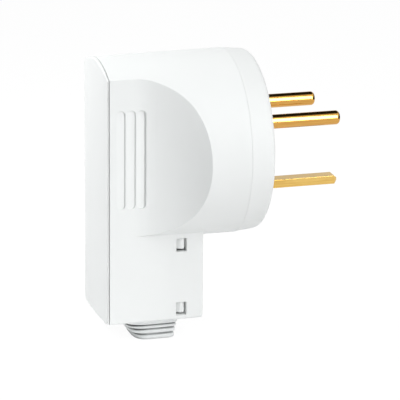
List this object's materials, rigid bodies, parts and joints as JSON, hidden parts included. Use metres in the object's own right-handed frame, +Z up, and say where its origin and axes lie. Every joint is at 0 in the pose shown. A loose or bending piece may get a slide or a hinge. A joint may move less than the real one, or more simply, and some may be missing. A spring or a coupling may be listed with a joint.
{
  "type": "industrial plug",
  "caption": "Angled earthed plug with two round pins and a flat earth pin, a flat-sided grip with thumb scoops, and a cable box with a ribbed gland below.",
  "frame": {"origin": "centre of the mating face, on the drum's axis", "axes": "+X along the pins, out of the mating face; +Z up, away from the cable gland; +Y towards the neutral pin"},
  "size_m": [0.0852, 0.0624, 0.0969],
  "materials": {
    "shell": "semi-gloss white",
    "insulator": "satin off-white",
    "brass": "polished",
    "steel": "zinc plated",
    "rubber": "satin white"
  },
  "bodies": {
    "root": {"housing": "shell", "front_panel": "shell", "pin_plate": "shell", "pin_retainer": "insulator", "retainer_screws": "steel", "live_pin": "brass", "neutral_pin": "brass", "earth_pin": "brass", "live_terminal": "brass", "neutral_terminal": "brass", "earth_terminal": "brass", "terminal_barrier": "insulator", "cord_clamp_base": "insulator", "cord_clamp_inserts": "brass", "cable_gland": "rubber"},
    "rear_cover": {"rear_cover": "shell", "cover_inserts": "brass"},
    "cord_clamp_bar": {"cord_clamp_bar": "insulator"},
    "cover_screw_left": {"cover_screw_left": "steel"},
    "cover_screw_right": {"cover_screw_right": "steel"},
    "live_saddle": {"live_saddle": "steel"},
    "live_screw": {"live_screw": "steel"},
    "neutral_saddle": {"neutral_saddle": "steel"},
    "neutral_screw": {"neutral_screw": "steel"},
    "earth_saddle": {"earth_saddle": "steel"},
    "earth_screw": {"earth_screw": "steel"},
    "cord_clamp_screw_left": {"cord_clamp_screw_left": "steel"},
    "cord_clamp_screw_right": {"cord_clamp_screw_right": "steel"}
  },
  "joints": [
    {"name": "rear_cover_slide", "type": "slide", "parent": "root", "child": "rear_cover", "axis": [-1, 0, 0], "range_m": [0, 0.03]},
    {"name": "cover_screw_left_turn", "type": "hinge", "parent": "root", "child": "cover_screw_left", "pos_m": [-0.0224, -0.0076, -0.0508], "axis": [1, 0, 0], "continuous": true},
    {"name": "cover_screw_right_turn", "type": "hinge", "parent": "root", "child": "cover_screw_right", "pos_m": [-0.0224, 0.0076, -0.0508], "axis": [1, 0, 0], "continuous": true},
    {"name": "live_saddle_slide", "type": "slide", "parent": "root", "child": "live_saddle", "axis": [-1, 0, 0], "range_m": [0, 0.0028]},
    {"name": "live_screw_turn", "type": "hinge", "parent": "live_saddle", "child": "live_screw", "pos_m": [-0.0235, -0.0131, 0.0088], "axis": [-1, 0, 0], "range_deg": [0, 1440]},
    {"name": "neutral_saddle_slide", "type": "slide", "parent": "root", "child": "neutral_saddle", "axis": [-1, 0, 0], "range_m": [0, 0.0028]},
    {"name": "neutral_screw_turn", "type": "hinge", "parent": "neutral_saddle", "child": "neutral_screw", "pos_m": [-0.0235, 0.0131, 0.0088], "axis": [-1, 0, 0], "range_deg": [0, 1440]},
    {"name": "earth_saddle_slide", "type": "slide", "parent": "root", "child": "earth_saddle", "axis": [-1, 0, 0], "range_m": [0, 0.0028]},
    {"name": "earth_screw_turn", "type": "hinge", "parent": "earth_saddle", "child": "earth_screw", "pos_m": [-0.0235, 0, -0.0163], "axis": [-1, 0, 0], "range_deg": [0, 1440]},
    {"name": "cord_clamp_bar_slide", "type": "slide", "parent": "root", "child": "cord_clamp_bar", "axis": [-1, 0, 0], "range_m": [0, 0.003]},
    {"name": "cord_clamp_screw_left_turn", "type": "hinge", "parent": "cord_clamp_bar", "child": "cord_clamp_screw_left", "pos_m": [-0.043, -0.0086, -0.0415], "axis": [-1, 0, 0], "range_deg": [0, 1543]},
    {"name": "cord_clamp_screw_right_turn", "type": "hinge", "parent": "cord_clamp_bar", "child": "cord_clamp_screw_right", "pos_m": [-0.043, 0.0086, -0.0415], "axis": [-1, 0, 0], "range_deg": [0, 1543]}
  ],
  "couplings": [
    {"joint": "live_screw_turn", "follows": "live_saddle_slide", "rad_per_m": 8975.9},
    {"joint": "neutral_screw_turn", "follows": "neutral_saddle_slide", "rad_per_m": 8975.9},
    {"joint": "earth_screw_turn", "follows": "earth_saddle_slide", "rad_per_m": 8975.9},
    {"joint": "cord_clamp_screw_left_turn", "follows": "cord_clamp_bar_slide", "rad_per_m": 8975.9},
    {"joint": "cord_clamp_screw_right_turn", "follows": "cord_clamp_bar_slide", "rad_per_m": 8975.9}
  ]
}
